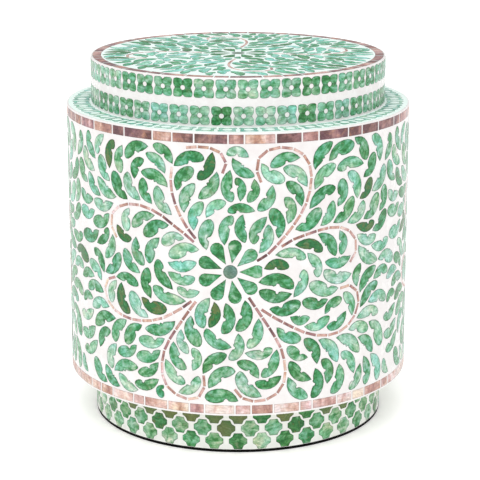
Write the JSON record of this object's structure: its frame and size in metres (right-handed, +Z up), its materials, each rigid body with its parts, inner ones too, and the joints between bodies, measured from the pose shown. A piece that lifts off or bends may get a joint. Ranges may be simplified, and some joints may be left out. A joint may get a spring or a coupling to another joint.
{
  "type": "drum side table",
  "caption": "Round drum side table with a set-back neck and plinth, covered in green and pink shell tiles set in white resin.",
  "frame": {"origin": "on the floor, at the middle of the round base", "axes": "+Z up along the table's axis, -Y towards the front of the picture"},
  "size_m": [0.4, 0.4, 0.427],
  "materials": {
    "white_resin": "cast resin, ground flush and polished",
    "green_shell": "dyed shell, mottled, ground and polished",
    "mint_shell": "pale dyed shell, ground and polished",
    "pink_shell": "pink to brown shell, banded, ground and polished",
    "grey_shell": "grey-teal shell, ground and polished",
    "board": "plain fibreboard, painted off-white where it shows under the drum",
    "plywood": "bent plywood, bare inside",
    "softwood": "sawn softwood",
    "black_cover": "hardboard stained black",
    "steel": "zinc-plated screws"
  },
  "bodies": {
    "root": {"base_cover": "black_cover", "base_screws": "steel", "plinth_wall": "plywood", "plinth_blocks": "softwood", "floor_screws": "steel", "drum_floor": "board", "lower_battens": "softwood", "middle_former": "board", "upper_battens": "softwood", "drum_wall": "plywood", "shoulder_board": "board", "shoulder_screws": "steel", "neck_blocks": "softwood", "neck_wall": "plywood", "top_board": "board", "plinth_resin": "white_resin", "drum_resin": "white_resin", "ledge_resin": "white_resin", "neck_resin": "white_resin", "top_resin": "white_resin", "plinth_clovers_low": "green_shell", "plinth_clovers_middle": "green_shell", "plinth_clovers_high": "green_shell", "drum_lower_border": "pink_shell", "drum_upper_border": "pink_shell", "drum_petals": "green_shell", "drum_discs": "grey_shell", "drum_stems": "pink_shell", "ledge_tiles": "mint_shell", "neck_lower_flowers": "green_shell", "neck_upper_flowers": "green_shell", "top_border": "pink_shell", "top_petals": "green_shell", "top_disc": "grey_shell", "top_stems": "pink_shell"}
  },
  "joints": []
}
